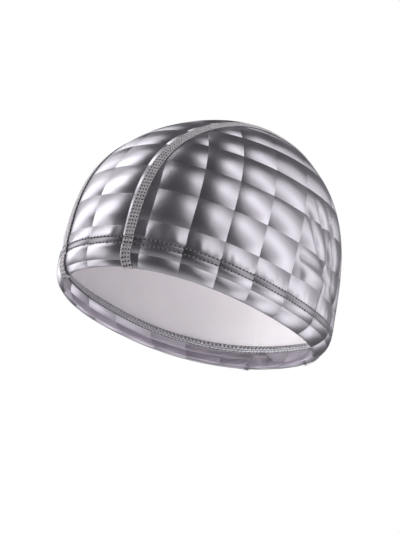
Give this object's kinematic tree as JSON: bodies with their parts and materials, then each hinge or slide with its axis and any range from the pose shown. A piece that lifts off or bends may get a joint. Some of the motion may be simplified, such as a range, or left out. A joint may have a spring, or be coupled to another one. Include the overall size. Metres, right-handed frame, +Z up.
{
  "type": "swim cap",
  "caption": "Fabric swim cap in worn form: a full dome of three stretch panels joined by flat seams, with a turned-in stitched hem.",
  "frame": {"origin": "middle of the rim opening, level with the rim at both sides, where the cap sits on a head", "axes": "+Z up through the crown, -Y towards the wearer's face, +X towards the wearer's left"},
  "size_m": [0.1622, 0.2102, 0.1577],
  "materials": {
    "silver_cloth": "coated stretch knit, satin silver face in pale and dark checks, matt white reverse",
    "seam_thread": "matt grey flatlock thread",
    "stitch_thread": "matt grey looped thread"
  },
  "bodies": {
    "root": {"centre_panel": "silver_cloth", "left_side_panel": "silver_cloth", "right_side_panel": "silver_cloth", "left_seam": "seam_thread", "right_seam": "seam_thread", "hem_cover_stitch": "stitch_thread"}
  },
  "joints": []
}
